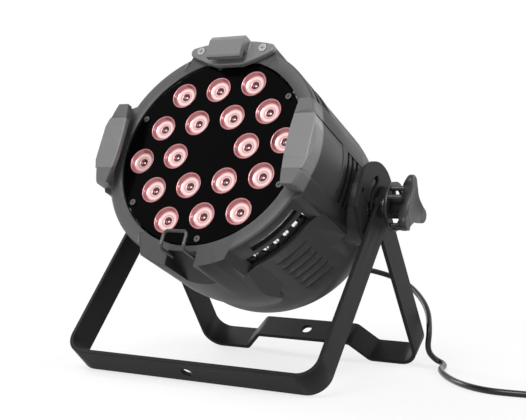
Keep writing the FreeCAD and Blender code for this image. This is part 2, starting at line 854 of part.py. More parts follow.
def make_housing():
    long_arm = make_long_arm()
    side_arm = make_side_arm()
    front_boss = slab(ring_lip_back - 0.2, ring_front, *boss_section())
    front_boss = front_boss.common(rod(arm_radius, ring_lip_back - 1, ring_front + 1))
    front_boss = front_boss.cut(rod(ring_lip_radius, ring_lip_back - 1, ring_front + 1))
    ring = make_ring()
    flat = slab(ring_front, ring_front + 5, *boss_section())
    for angle in (90, 270):
        ring = ring.cut(around(flat, angle))
    lug_outer = shell_radius - 1
    lug = block(-ear_half, ear_half, lug_back, sink_base, sink_radius + 2, lug_outer)
    lug = lug.cut(rod(m4_radius + thread_clearance, lug_back + 2, sink_base + 1, 0,
                      ear_screw_place))
    pieces = [make_shell(), ring]
    pieces += [around(long_arm, 90), around(long_arm, 270)]
    pieces += [around(side_arm, 0), around(side_arm, 180)]
    pieces += [around(front_boss, 90), around(front_boss, 270)]
    pieces += [around(lug, angle) for angle in ear_angles()]
    boss = make_pivot_boss()
    pieces += [boss, across_middle(boss)]
    cheeks = block(-notch_cheek, notch_cheek, notch_cheek_back, ring_front,
                   ring_lip_radius + 1.5, shell_radius - 1)
    pieces.append(around(cheeks, 270))
    for x, z in panel_screw_spots():
        pieces.append(rod(panel_boss_radius, shell_back, panel_boss_front, x, z))
    housing = join(pieces)
    cutters = [make_grooves()]
    notch = cross_slab(notch_half, (ring_front + 1, notch_roof), (ring_front + 1, arm_radius + 4),
                       (notch_back, arm_radius + 4), (notch_back, arm_radius))
    cutters.append(around(notch, 270))
    hinge_hole = bail_wire + bail_play
    cutters.append(cross_rod(hinge_hole, -bail_end - 0.5, bail_end + 0.5, -bail_hinge_along,
                             -bail_hinge_drop))
    for x, z in panel_screw_spots():
        cutters.append(rod(m3_radius + thread_clearance, shell_back - 1, panel_boss_front - 2,
                           x, z))
    for side in (-1, 1):
        cutters.append(rod(m4_radius + thread_clearance, ring_front - 10, ring_front + 1,
                           side * top_screw_place, top_clip_tip))
    housing = housing.cut(group(cutters))
    pocket = make_cover_pocket()
    return housing.cut(around(pocket, 0)).cut(around(pocket, 180))


# ---- Covers, clips and bail ----
def make_side_cover():
    """Side cover, made at the top of the barrel: crowned panel and the middle of the clip's lip."""
    rise = cover_crown - cover_edge
    crown_radius = (cover_half ** 2 + rise ** 2) / (2 * rise)
    centre = cover_crown - crown_radius
    panel = slab(
        cover_back, clip_front,
        (-cover_half, cover_floor),
        (-cover_half, cover_edge),
        ((0, cover_crown), (cover_half, cover_edge)),
        (cover_half, cover_floor),
    )
    ridge = slab(
        cover_back, cover_back + cover_ridge,
        (-cover_half, cover_floor),
        (-cover_half, cover_edge + 1),
        ((0, cover_crown + 1), (cover_half, cover_edge + 1)),
        (cover_half, cover_floor),
    )
    inner = clip_lip_middle + (clip_lip_end - clip_lip_middle) * (cover_half / clip_half) ** 2
    lip = slab(
        clip_lip_back, clip_front,
        (-cover_half, inner),
        (-cover_half, cover_floor),
        (cover_half, cover_floor),
        (cover_half, inner),
        ((0, clip_lip_middle), (-cover_half, inner)),
    )
    cover = join([panel, ridge, lip])
    bevel = cross_slab(
        cover_half + 1,
        (clip_front - 2 * clip_chamfer, cover_crown + 0.01),
        (clip_front + 1, cover_crown - 1.1 * clip_chamfer),
        (clip_front + 1, cover_crown + 3),
        (clip_front - 2 * clip_chamfer, cover_crown + 3),
    )
    shaper = Part.makeCylinder(crown_radius + 1, 200, Vec(0, -200, centre), Y_AXIS)
    return cover.cut(bevel).common(shaper.fuse(block(-40, 40, 0, 200, clip_lip_middle - 11, cover_floor)))


def make_top_clip():
    """Lens-shaped plate on the top boss, with the block that overhangs the accessory frame."""
    plate_front = ring_front + top_clip_thickness
    plate = slab(
        ring_front, plate_front,
        (-top_clip_half, top_clip_tip - 4),
        ((-30, top_clip_low + 5.5), (-14, top_clip_low)),
        (14, top_clip_low),
        ((30, top_clip_low + 5.5), (top_clip_half, top_clip_tip - 4)),
        ((top_clip_half + 1.5, top_clip_tip), (top_clip_half - 1, top_clip_tip + 4)),
        ((24, top_clip_high - 1), (0, top_clip_high)),
        ((-24, top_clip_high - 1), (-top_clip_half + 1, top_clip_tip + 4)),
        ((-top_clip_half - 1.5, top_clip_tip), (-top_clip_half, top_clip_tip - 4)),
    )
    edges = [e for e in plate.Edges if e.BoundBox.YMax < -plate_front + 0.01]
    plate = plate.makeFillet(1.5, edges)
    block_shape = cross_slab(
        top_block_half,
        (plate_front - 1, top_block_low + 8),
        (plate_front + 1.5, top_block_low + 8),
        (plate_front + 1.5, top_block_low + 9),
        (plate_front + 6, top_block_low + 9),
        (plate_front + 6, top_block_low),
        (clip_front - 1, top_block_low),
        (clip_front, top_block_low + 2),
        (clip_front, top_clip_high - 5),
        (clip_front - 3, top_clip_high),
        (plate_front - 1, top_clip_high),
    )
    clip = plate.fuse(block_shape).removeSplitter()
    holes = []
    for side in (-1, 1):
        holes.append(rod(m4_radius + thread_clearance, ring_front - 1, plate_front + 1,
                         side * top_screw_place, top_clip_tip))
        holes.append(rod(4.6, plate_front - 2, plate_front + 1, side * top_screw_place,
                         top_clip_tip))
    return clip.cut(group(holes))


def make_top_clip_screws():
    seat = ring_front + top_clip_thickness - 2
    return group(screw(m4_radius, seat - ring_front + 8, 4.2, 2.4, seat, side * top_screw_place,
                       top_clip_tip) for side in (-1, 1))


def make_bail():
    drop = -bail_hinge_drop
    back = -bail_hinge_along
    front = -bail_front
    points = [
        Vec(-bail_end, back, drop),
        Vec(-bail_half, back, drop),
        Vec(-bail_half, front, drop),
        Vec(-bail_half, front, drop + bail_rise),
        Vec(bail_half, front, drop + bail_rise),
        Vec(bail_half, front, drop),
        Vec(bail_half, back, drop),
        Vec(bail_end, back, drop),
    ]
    return round_bar(rounded_path(points, [bail_bend] * 6), bail_wire)


# ---- Face, lenses and light engine ----
def lens_spots():
    spots = []
    for number in range(6):
        spots.append(polar(lens_pitch, lens_turn + 60 * number))
        spots.append(polar(2 * lens_pitch, lens_turn + 60 * number))
        spots.append(polar(lens_pitch * math.sqrt(3), lens_turn + 30 + 60 * number))
    return spots


def face_screw_spots():
    return [polar(face_screw_place, face_screw_turn + 60 * number) for number in range(6)]


def at_spots(shape, spots):
    copies = []
    for x, z in spots:
        copy = shape.copy()
        copy.translate(Vec(x, 0, z))
        copies.append(copy)
    return copies


def make_face_plate():
    plate = turned((0, face_back), (face_radius, face_back), (face_radius, face_front - 0.5),
                   (face_radius - 0.5, face_front), (0, face_front))
    holes = at_spots(rod(lens_radius + 0.2, face_back - 1, face_front + 1), lens_spots())
    holes += at_spots(rod(m3_radius + 0.1, face_back - 1, face_front + 1), face_screw_spots())
    return plate.cut(group(holes))


def make_lens():
    return turned((0, lens_front), (lens_radius, lens_front), (lens_radius, face_back - 0.1),
                  (6.5, lens_back), (0, lens_back))


def make_lens_holder():
    top = face_back - 0.05
    return turned((lens_radius + 1.5, top), (lens_radius + 0.3, top), (7.0, lens_back + 0.2),
                  (7.0, led_board_front), (lens_radius + 1.5, led_board_front))


def make_emitter():
    base = block(-3.5, 3.5, led_board_front, led_board_front + 0.8, -3.5, 3.5)
    return base.fuse(rod(2.2, led_board_front + 0.8, lens_back - 0.2)).removeSplitter()


def make_spacer():
    post = rod(spacer_post_radius, led_board_back, face_back)
    return post.cut(rod(m3_radius + thread_clearance, face_back - 9, face_back + 1))


def make_led_board():
    board = rod(led_board_radius, led_board_back, led_board_front)
    notches = at_spots(rod(spacer_post_radius + 0.7, led_board_back - 1, led_board_front + 1),
                       face_screw_spots())
    return board.cut(group(notches))


def chassis_screw_spots():
    return [polar(chassis_screw_place, 90 * number) for number in range(4)]


def make_heat_sink():
    base = rod(sink_radius, sink_base, led_board_back)
    sleeve = tube(sink_radius - 1, sink_radius - 1 - sink_sleeve, sink_back, sink_base + 1)
    core = rod(sink_core, sink_back, sink_base + 1)
    pieces = [base, sleeve, core]
    for number in range(fin_count):
        fin = block(-fin_thickness / 2, fin_thickness / 2, sink_back, sink_base + 1,
                    sink_core - 2, sink_radius - 2)
        pieces.append(around(fin, 5 + 360 / fin_count * number))
    pieces += at_spots(rod(5, sink_back, sink_base + 1), chassis_screw_spots())
    ear = block(-ear_half, ear_half, sink_base, led_board_back, sink_radius - 3, ear_reach)
    pieces += [around(ear, angle) for angle in ear_angles()]
    sink = join(pieces)
    holes = at_spots(rod(m3_radius + thread_clearance, sink_back - 1, sink_back + 12),
                     chassis_screw_spots())
    bore = rod(m4_radius + thread_clearance, sink_base - 1, led_board_back + 1, 0,
               ear_screw_place)
    holes += [around(bore, angle) for angle in ear_angles()]
    return sink.cut(group(holes))


def make_air_guard():
    """Toothed band behind the vent gap, plain where the arms cross it."""
    band = tube(guard_outer, guard_inner, ledge_front, guard_front)
    teeth_ring = tube(tooth_outer, guard_inner, guard_front - 1, tooth_tip)
    half_base = guard_inner * math.tan(math.pi / tooth_count) + 0.3
    tooth = plan_slab(guard_inner - 2, guard_outer,
                      (-half_base, guard_front - 1), (-half_base, guard_front),
                      (0, tooth_tip), (half_base, guard_front),
                      (half_base, guard_front - 1))
    teeth = []
    for number in range(tooth_count):
        angle = 3.4 + 360 / tooth_count * number
        nearest = min(abs((angle - quarter + 180) % 360 - 180) for quarter in ear_angles())
        if math.radians(nearest) * guard_inner > guard_gap_half + half_base:
            teeth.append(around(tooth, angle).common(teeth_ring))
    return join([band] + teeth)


# ---- Inside the barrel ----
def make_chassis_plate():
    plate = rod(chassis_radius, sink_back - chassis_thickness, sink_back)
    return plate.cut(group(at_spots(rod(m3_radius + 0.1, sink_back - 5, sink_back + 1),
                                    chassis_screw_spots())))


def make_power_supply():
    wide, deep, tall = supply_size
    front = sink_back - chassis_thickness
    case = block(-wide / 2, wide / 2, front - deep, front, -supply_drop - tall / 2,
                 -supply_drop + tall / 2)
    terminals = block(-wide / 2 + 4, wide / 2 - 4, front - deep - 9, front - deep,
                      -supply_drop - tall / 2 + 3, -supply_drop - tall / 2 + 15)
    return case.fuse(terminals).removeSplitter()


def driver_spots():
    wide, tall = driver_size
    return [(x * (wide / 2 - 5), driver_height + z * (tall / 2 - 5))
            for x in (-1, 1) for z in (-1, 1)]


def make_driver_board():
    wide, tall = driver_size
    front = sink_back - chassis_thickness - driver_standoff
    board = block(-wide / 2, wide / 2, front - board_thickness, front,
                  driver_height - tall / 2, driver_height + tall / 2)
    parts = [board]
    back = front - board_thickness
    for number in range(4):
        x = -30 + 20 * number
        parts.append(rod(5, back - 12, back, x, driver_height + 8))
        parts.append(block(x - 4, x + 4, back - 4, back, driver_height - 15, driver_height - 7))
    return join(parts)


# ---- Rear panel ----
def button_spots():
    return [((number - 1.5) * button_pitch, button_height) for number in range(4)]


def make_rear_panel():
    plate = turned((0, panel_back), (panel_radius - 1, panel_back), (panel_radius, panel_back + 1),
                   (panel_radius, panel_front), (0, panel_front))
    wide, tall = window_size
    back = panel_back - 1
    front = panel_front + 1
    holes = [block(-wide / 2, wide / 2, back, front, window_height - tall / 2,
                   window_height + tall / 2)]
    holes += at_spots(rod(m3_radius + 0.1, back, front), panel_screw_spots())
    holes += at_spots(rod(button_radius + 0.3, back, front), button_spots())
    for place in (dmx_in_place, dmx_out_place):
        holes.append(rod(dmx_barrel + 0.2, back, front, place, dmx_height))
    holes += at_spots(rod(m3_radius + 0.1, back, front), dmx_screw_spots())
    plate = plate.cut(group(holes))
    low = dmx_latch_low()
    window = block(dmx_out_place - 3.2, dmx_out_place + 3.2, back, front, low - 0.2, low + 4.2)
    glands = [rod(gland_thread + 0.1, back, front, *gland_place)]
    glands.append(rod(fuse_radius - 1.4, back, front, *fuse_place))
    return plate.cut(group(glands)).cut(window)


def make_window():
    """Clear window flush in the panel, with a rim behind it."""
    wide, tall = window_size
    pane = block(-wide / 2 + 0.1, wide / 2 - 0.1, panel_back + 0.5, panel_front,
                 window_height - tall / 2 + 0.1, window_height + tall / 2 - 0.1)
    rim = block(-wide / 2 - 1.5, wide / 2 + 1.5, panel_front, panel_front + 1,
                window_height - tall / 2 - 1.5, window_height + tall / 2 + 1.5)
    return pane.fuse(rim).removeSplitter()


def make_display_board():
    """Board behind the window and buttons, with the display and four switch bodies."""
    back = panel_front + button_travel + 6
    board = block(-26, 26, back, back + board_thickness, 10, 43.5)
    wide, tall = window_size
    display = block(-wide / 2 + 2, wide / 2 - 2, panel_front + 1, back, window_height - tall / 2 + 1,
                    window_height + tall / 2 - 1)
    pieces = [board, display]
    pieces += at_spots(block(-3, 3, back - 4, back, -3, 3), button_spots())
    return join(pieces)


def make_button(number):
    x, z = button_spots()[number]
    cap = rod(button_radius, panel_back - 1.5, panel_front, x, z)
    flange = rod(button_radius + 1, panel_front + 0.1, panel_front + 1, x, z)
    neck = rod(button_radius - 1, panel_front - 1, panel_front + 0.2, x, z)
    stem = rod(1.5, panel_front + 0.5, panel_front + 2.0, x, z)
    return join([cap, neck, flange, stem])


def dmx_screw_spots():
    wide, tall = dmx_flange
    reach_x = wide / 2 - 3.5
    reach_z = tall / 2 - 3.5
    spots = []
    for place in (dmx_in_place, dmx_out_place):
        spots.append((place - reach_x, dmx_height + reach_z))
        spots.append((place + reach_x, dmx_height - reach_z))
    return spots


def dmx_latch_low():
    return dmx_height + dmx_recess + 0.8


def make_dmx_body(place):
    """Square-flanged socket body with its barrel through the panel, before the recess is cut."""
    wide, tall = dmx_flange
    plate = block(place - wide / 2, place + wide / 2, panel_back - 2, panel_back,
                  dmx_height - tall / 2, dmx_height + tall / 2)
    edges = [e for e in plate.Edges if abs(e.BoundBox.YLength - 2) < 0.01]
    plate = plate.makeFillet(2, edges)
    barrel = rod(dmx_barrel, panel_back - 3, panel_back - 2 + dmx_depth + 4, place, dmx_height)
    body = plate.fuse(barrel)
    holes = [rod(m3_radius + 0.1, panel_back - 3, panel_back + 1, x, z)
             for x, z in dmx_screw_spots()]
    return body.cut(group(holes))


def pin_spots(place):
    return [(place + polar(4.76, angle)[0], dmx_height + polar(4.76, angle)[1])
            for angle in (30, 150, 270)]


def make_dmx_in():
    """Input: a round recess with three pins."""
    body = make_dmx_body(dmx_in_place)
    floor = panel_back - 3 + dmx_depth
    body = body.cut(rod(dmx_recess, panel_back - 4, floor, dmx_in_place, dmx_height))
    pins = [rod(1.2, panel_back - 1, floor + 1, x, z) for x, z in pin_spots(dmx_in_place)]
    return join([body] + pins)


def make_dmx_out():
    """Output: a face ring groove, three holes, and a window for the latch."""
    body = make_dmx_body(dmx_out_place)
    deep = panel_back - 3 + dmx_depth
    cuts = [rod(1.45, panel_back - 4, deep, x, z) for x, z in pin_spots(dmx_out_place)]
    groove = rod(dmx_recess, panel_back - 4, deep, dmx_out_place, dmx_height)
    groove = groove.cut(rod(dmx_recess - 1.4, panel_back - 5, deep + 1, dmx_out_place, dmx_height))
    cuts.append(groove)
    low = dmx_latch_low() - 0.2
    cuts.append(block(dmx_out_place - 3.2, dmx_out_place + 3.2, panel_back - 4, panel_back + 4,
                      low, low + 4.4))
    return body.cut(group(cuts))


def make_dmx_latch():
    low = dmx_latch_low()
    return block(dmx_out_place - 3, dmx_out_place + 3, panel_back - 5, panel_back + 2, low,
                 low + 4)


def make_dmx_screws():
    return group(rear_screw(m3_radius, 8, 2.6, 1.6, panel_back - 2, x, z)
                 for x, z in dmx_screw_spots())


def make_fuse_holder():
    x, z = fuse_place
    flange = rod(fuse_radius, panel_back - 2, panel_back, x, z)
    barrel = rod(fuse_radius - 1.5, panel_back - 1, panel_back + 30, x, z)
    nut = rod(fuse_radius, panel_front, panel_front + 4, x, z)
    body = join([flange, barrel, nut])
    return body.cut(rod(3.6, panel_back - 3, panel_back + 26, x, z))


def make_fuse_cap():
    """Screw-in cap with a driver slot, and the shank that carries the fuse."""
    x, z = fuse_place
    cap = rod(fuse_radius - 2, panel_back - 6, panel_back - 2.05, x, z)
    shank = rod(3.5, panel_back - 3, panel_back + 20, x, z)
    slot = block(x - 5, x + 5, panel_back - 7, panel_back - 4.8, z - 0.6, z + 0.6)
    return join([cap, shank]).cut(slot)


def hexagon(half_flats, back, front, across, outward):
    corner = half_flats / math.cos(math.radians(30))
    points = [polar(corner, 60 * number) for number in range(6)]
    nut = slab(back, front, *points)
    nut.translate(Vec(across, 0, outward))
    return nut


def make_gland():
    x, z = gland_place
    head = hexagon(gland_hex, panel_back - 4, panel_back, x, z)
    return head.fuse(rod(gland_thread, panel_back - 1, panel_front + 10, x, z)).removeSplitter()


def make_gland_nut():
    x, z = gland_place
    nut = hexagon(gland_hex, panel_front, panel_front + 4, x, z)
    return nut.cut(rod(gland_thread, panel_front - 1, panel_front + 5, x, z))


def make_strain_relief():
    x, z = gland_place
    start = panel_back - 4
    collar = rod(7.6, start - 2, start, x, z)
    cone = taper(relief_end_radius, 7.0, start - 1 - relief_length, start - 1, x, z)
    return collar.fuse(cone).removeSplitter()


def make_safety_eye():
    """Steel eye for the safety cable: base plate with a standing half loop."""
    base = block(-11, 11, panel_back - 1.5, panel_back, eye_height - 5.5, eye_height + 5.0)
    foot = panel_back - 1.5
    centre = -(foot - eye_radius - 1.0)
    ring = Part.makeTorus(eye_radius + eye_wire, eye_wire, Vec(0, centre, eye_height), Z_AXIS)
    keep = block(-20, 20, foot - 40, foot, eye_height - 10, eye_height + 10)
    return base.fuse(ring.common(keep)).removeSplitter()


# ---- Mains cord ----
def route():
    """Corners of the cord's route from the strain relief to the coil, in the pivot frame."""
    x, z = gland_place
    end = in_head(Part.Vertex(x, -(panel_back - 5 - relief_length), z)).Point
    behind = in_head(Part.Vertex(x, -(panel_back - 5 - relief_length - cord_first_run), z)).Point
    floor = cord_radius - pivot_height
    return [
        end,
        behind,
        Vec(61, 156, -72.3),
        Vec(90, 158, -80.8),
        Vec(114, 141, -91.8),
        Vec(134, 121, -106.8),
        Vec(143, 103.5, -126.3),
        Vec(140.5, 104, -146.8),
        Vec(144.5, 116, floor + 4.5),
        Vec(154.5, 115, floor + 1),
        Vec(159.5, 104, floor),
        Vec(162.5, 82, floor),
        Vec(184, 42, floor),
        Vec(211, 8, floor),
        Vec(240, -11, floor),
        Vec(268, -9.5, floor),
        Vec(297, -3.5, floor),
    ]


def cord_radii(points):
    radii = []
    for before, corner, after in zip(points, points[1:], points[2:]):
        into = corner - before
        away = after - corner
        half_turn = into.getAngle(away) / 2
        radii.append(0.45 * min(into.Length, away.Length) / math.tan(half_turn))
    return radii


def make_cord():
    points = route()
    radii = cord_radii(points)
    path = rounded_path(points, radii)
    cord = round_bar(path, cord_radius)
    expected = path.Length * math.pi * cord_radius ** 2
    print("cord: length", round(path.Length, 1), "volume / expected",
          round(cord.Volume / expected, 4))
    print("cord radii:", [round(radius, 1) for radius in radii])
    return cord


def coil_frame():
    """Where the cord ends, the way it points there, and the middle of the coil."""
    points = route()
    end = points[-1]
    ahead = (end - points[-2]).normalize()
    left = Z_AXIS.cross(ahead)
    middle = end + ahead * coil_stub + left * coil_turn_radius
    return end, ahead, middle


def tail_frame():
    """Where the upper lead leaves the coil's side, and the way it points."""
    middle = coil_frame()[2]
    out = Vec(math.cos(math.radians(tail_angle)), math.sin(math.radians(tail_angle)), 0)
    ahead = Z_AXIS.cross(out)
    leave = middle + out * coil_turn_radius + Vec(0, 0, 2 * cord_radius)
    return leave, ahead


def make_coil():
    """Outer shape of the coiled length, with a straight lead in at the floor and one out on top."""
    end, ahead, middle = coil_frame()
    base = middle - Vec(0, 0, cord_radius - coil_inset)
    height = 4 * cord_radius - 2 * coil_inset
    outside = coil_turn_radius + cord_radius - coil_inset
    ring = Part.makeCylinder(outside, height, base)
    ring = ring.cut(Part.makeCylinder(coil_turn_radius - 3 * cord_radius, height, base))
    lead_in = Part.makeCylinder(cord_radius, coil_stub, end, ahead)
    leave, away = tail_frame()
    lead_out = Part.makeCylinder(cord_radius, tail_stub, leave, away)
    return ring.fuse(lead_in).fuse(lead_out).removeSplitter()


def plug_placed(shape):
    """From the plug's own frame, cord entry at the origin and prongs towards +Y, to the floor."""
    leave, away = tail_frame()
    placed = shape.copy()
    placed.rotate(ORIGIN, Z_AXIS, math.degrees(math.atan2(-away.x, away.y)))
    placed.translate(leave + away * tail_stub)
    return placed


def plug_middle():
    """Height of the plug's middle above the cord that enters it, with the plug's body on the floor."""
    return plug_body[2] / 2 - 3 * cord_radius


def make_plug():
    wide, long, tall = plug_body
    start = relief_plug_length
    body = Part.makeBox(wide, long, tall, Vec(-wide / 2, start, plug_middle() - tall / 2))
    edges = [e for e in body.Edges if e.BoundBox.YMax < start + long - 0.01]
    body = body.makeFillet(3.5, edges)
    relief = Part.makeCone(relief_end_radius - 0.3, 6.5, start + 1, ORIGIN, Y_AXIS)
    return plug_placed(body.fuse(relief).removeSplitter())


def make_plug_pins():
    thick, long, tall = blade_size
    start = relief_plug_length + plug_body[1]
    spread = ground_pin_radius + ground_pin_offset + tall / 2
    low = plug_middle() - spread / 2 + ground_pin_radius
    ground = Part.makeCylinder(ground_pin_radius, ground_pin_length, Vec(0, start, low), Y_AXIS)
    pins = [ground]
    for side in (-1, 1):
        x = side * blade_pitch / 2
        pins.append(Part.makeBox(thick, long, tall,
                                 Vec(x - thick / 2, start, low + ground_pin_offset - tall / 2)))
    return plug_placed(group(pins))


# ---- Assembly ----
def pivot_stud():
    return cross_rod(stud_radius, stud_inner, stud_outer)


stand_nodes = {
    "front_bracket": make_front_bracket(),
    "rear_bracket": make_rear_bracket(),
    "spacer_washers": washer_pair(spacer_radius, rear_half_width,
                                  rear_half_width + spacer_thickness),
    "friction_washers": washer_pair(hub_radius - 0.5, hub_face, hub_face + friction_thickness),
    "knob_washers": washer_pair(knob_washer_radius, front_half_width,
                                front_half_width + knob_washer),
    "pivot_studs": group([pivot_stud(), across_middle(pivot_stud())]),
    "knob_right": make_knob(),
    "knob_insert_right": make_insert(),
}
stand_nodes["knob_left"] = across_middle(stand_nodes["knob_right"])
stand_nodes["knob_insert_left"] = across_middle(stand_nodes["knob_insert_right"])

side_cover = make_side_cover()
ear_screw = screw(m4_radius, 14, 3.5, 2.6, led_board_back, 0, ear_screw_place)
driver_front = sink_back - chassis_thickness

head_nodes = {
    "housing": make_housing(),
    "side_cover_right": around(side_cover, 0),
    "side_cover_left": around(side_cover, 180),
    "top_clip": make_top_clip(),
    "top_clip_screws": make_top_clip_screws(),
    "wire_bail": make_bail(),
    "face_plate": make_face_plate(),
    "face_screws": group(at_spots(screw(m3_radius, 10, 3.0, 1.6, face_front),
                                  face_screw_spots())),
    "face_spacers": group(at_spots(make_spacer(), face_screw_spots())),
    "lenses": group(at_spots(make_lens(), lens_spots())),
    "lens_holders": group(at_spots(make_lens_holder(), lens_spots())),
    "led_emitters": group(at_spots(make_emitter(), lens_spots())),
    "led_board": make_led_board(),
    "heat_sink": make_heat_sink(),
    "heat_sink_screws": group(around(ear_screw, angle) for angle in ear_angles()),
    "air_guard": make_air_guard(),
    "chassis_plate": make_chassis_plate(),
    "chassis_screws": group(rear_screw(m3_radius, 11, 2.7, 1.8, driver_front, x, z)
                            for x, z in chassis_screw_spots()),
    "power_supply": make_power_supply(),
    "driver_board": make_driver_board(),
    "board_spacers": group(rod(2.5, driver_front - driver_standoff, driver_front, x, z)
                           for x, z in driver_spots()),
    "rear_panel": make_rear_panel(),
    "panel_gasket": turned((gasket_inner, panel_front), (panel_radius, panel_front),
                           (panel_radius, shell_back), (gasket_inner, shell_back)).cut(
        group(at_spots(rod(m3_radius + 0.1, panel_front - 1, shell_back + 1),
                       panel_screw_spots()))),
    "panel_screws": group(rear_screw(m3_radius, 12, 2.7, 1.8, panel_back, x, z)
                          for x, z in panel_screw_spots()),
    "display_window": make_window(),
    "display_board": make_display_board(),
    "button_menu": make_button(0),
    "button_down": make_button(1),
    "button_up": make_button(2),
    "button_enter": make_button(3),
    "dmx_in_socket": make_dmx_in(),
    "dmx_out_socket": make_dmx_out(),
    "dmx_latch": make_dmx_latch(),
    "dmx_screws": make_dmx_screws(),
    "fuse_holder": make_fuse_holder(),
    "fuse_cap": make_fuse_cap(),
    "cord_gland": make_gland(),
    "gland_nut": make_gland_nut(),
    "strain_relief": make_strain_relief(),
    "safety_eye": make_safety_eye(),
}

cord_nodes = {
    "mains_cord": make_cord(),
    "cord_coil": make_coil(),
    "mains_plug": make_plug(),
    "plug_pins": make_plug_pins(),
}

nodes = dict(stand_nodes)
for name, shape in head_nodes.items():
    nodes[name] = in_head(shape)

low_y = min(shape.BoundBox.YMin for shape in nodes.values())
high_y = max(shape.BoundBox.YMax for shape in nodes.values())
nodes.update(cord_nodes)
shift = Vec(0, -(low_y + high_y) / 2, pivot_height)
print("pivot at", [round(value, 2) for value in shift], "rear lean", round(rear_lean, 2))

for name, shape in nodes.items():
    placed = shape.copy()
    placed.translate(shift)
    solids = len(placed.Solids)
    if not placed.isValid() or solids == 0:
        print("check", name, "valid", placed.isValid(), "solids", solids)
    placed.exportStep("parts/" + name + ".step")
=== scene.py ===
import bpy
import bmesh
import math
from mathutils import Matrix, Vector


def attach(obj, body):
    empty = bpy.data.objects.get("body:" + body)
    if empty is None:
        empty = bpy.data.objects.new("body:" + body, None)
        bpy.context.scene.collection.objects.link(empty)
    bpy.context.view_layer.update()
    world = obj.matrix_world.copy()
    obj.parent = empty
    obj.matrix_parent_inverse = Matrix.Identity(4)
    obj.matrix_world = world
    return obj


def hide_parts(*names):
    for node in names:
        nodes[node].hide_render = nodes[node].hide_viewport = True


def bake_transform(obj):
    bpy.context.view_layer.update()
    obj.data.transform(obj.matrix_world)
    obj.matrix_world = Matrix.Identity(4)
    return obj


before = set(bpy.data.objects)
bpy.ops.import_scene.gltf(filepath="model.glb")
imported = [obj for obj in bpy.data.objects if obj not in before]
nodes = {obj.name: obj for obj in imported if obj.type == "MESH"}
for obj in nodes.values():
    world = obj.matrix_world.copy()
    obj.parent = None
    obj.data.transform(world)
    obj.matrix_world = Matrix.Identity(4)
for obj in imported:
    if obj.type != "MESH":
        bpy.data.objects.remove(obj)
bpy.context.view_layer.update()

# ---- Frame of the light ----
# The pivot is the line through the two tilt studs; the beam points 23 degrees above level.
PIVOT_Y = 0.01372
PIVOT_Z = 0.16479
BEAM_UP = math.radians(23.05)
AXIS_RISE = 0.005                 # from the pivot up to the barrel's axis


def in_head(across, along, outward):
    """Metres in the row frame, from millimetres in the barrel: across, along the beam and up."""
    x, s, v = across / 1000, along / 1000, outward / 1000 + AXIS_RISE
    return Vector((x,
                   PIVOT_Y - s * math.cos(BEAM_UP) + v * math.sin(BEAM_UP),
                   PIVOT_Z + s * math.sin(BEAM_UP) + v * math.cos(BEAM_UP)))


def add_object(name, data):
    made = bpy.data.objects.new(name, data)
    bpy.context.scene.collection.objects.link(made)
    return made


# ---- Camera ----
AZIMUTH, ELEVATION, ROLL = math.radians(30.073), math.radians(0.177), math.radians(1.402)
AIM = Vector((0.00106, PIVOT_Y, 0.1583))
CAMERA_DISTANCE = 1.0589
PICTURE_WIDTH = 526               # pixels
FOCAL_LENGTH = 1046.44            # pixels
SENSOR_WIDTH = 36                 # mm
back = Vector((math.sin(AZIMUTH) * math.cos(ELEVATION),
               -math.cos(AZIMUTH) * math.cos(ELEVATION),
               math.sin(ELEVATION)))
level_right = Vector((math.cos(AZIMUTH), math.sin(AZIMUTH), 0))
level_up = back.cross(level_right)
right = level_right * math.cos(ROLL) + level_up * math.sin(ROLL)
up = level_up * math.cos(ROLL) - level_right * math.sin(ROLL)
camera = add_object("camera", bpy.data.cameras.new("camera"))
camera.data.lens = FOCAL_LENGTH / PICTURE_WIDTH * SENSOR_WIDTH
camera.data.sensor_width = SENSOR_WIDTH
turn = Matrix((right, up, back)).transposed()
camera.matrix_world = Matrix.Translation(AIM + back * CAMERA_DISTANCE) @ turn.to_4x4()
bpy.context.scene.camera = camera

# ---- Mains cord: one spline from the strain relief to the plug ----
CORD_RADIUS = 0.003
FLOOR = CORD_RADIUS               # height of the cord's middle where it lies on the floor
route = [
    (0.040, 0.12022, 0.10860), (0.040, 0.14691, 0.09725),
    (0.061, 0.16972, 0.09249), (0.090, 0.17172, 0.08399),
    (0.114, 0.15472, 0.07299), (0.134, 0.13472, 0.05799),
    (0.143, 0.11722, 0.03849), (0.1405, 0.11772, 0.01799),
    (0.1445, 0.12972, FLOOR + 0.0045), (0.1545, 0.12872, FLOOR + 0.001),
    (0.1595, 0.11772, FLOOR), (0.1625, 0.09572, FLOOR),
    (0.184, 0.05572, FLOOR), (0.211, 0.02172, FLOOR),
    (0.240, 0.00272, FLOOR), (0.268, 0.00422, FLOOR),
    (0.297, 0.01022, FLOOR),
]
TURN = 0.036                      # radius of the outer turns of the coil
PITCH = 0.006                     # from one turn to the next, sideways and upwards
STUB = 0.035                      # straight run into the coil
TAIL = 0.036                      # straight run from the coil to the plug
TAIL_ANGLE = math.radians(4.0)    # where the cord leaves the coil
POINTS_PER_TURN = 16
WHOLE_TURNS = 3                   # before the part of a turn that brings it to the tail
STEP_IN, CLIMB, STEP_OUT = (290, 360), (590, 695), (890, 960)    # degrees turned, from and to
end = Vector(route[-1])
ahead = (end - Vector(route[-2])).normalized()
left = Vector((-ahead.y, ahead.x, 0))
middle = end + ahead * STUB + left * TURN
first = math.atan2(-left.y, -left.x)
sweep = (TAIL_ANGLE - first) % (2 * math.pi) + 2 * math.pi * WHOLE_TURNS


def ease(value, start, stop):
    """0 before start, 1 after stop, and a smooth step between them."""
    t = min(max((value - start) / (stop - start), 0.0), 1.0)
    return t * t * (3 - 2 * t)


count = round(sweep / (2 * math.pi) * POINTS_PER_TURN)
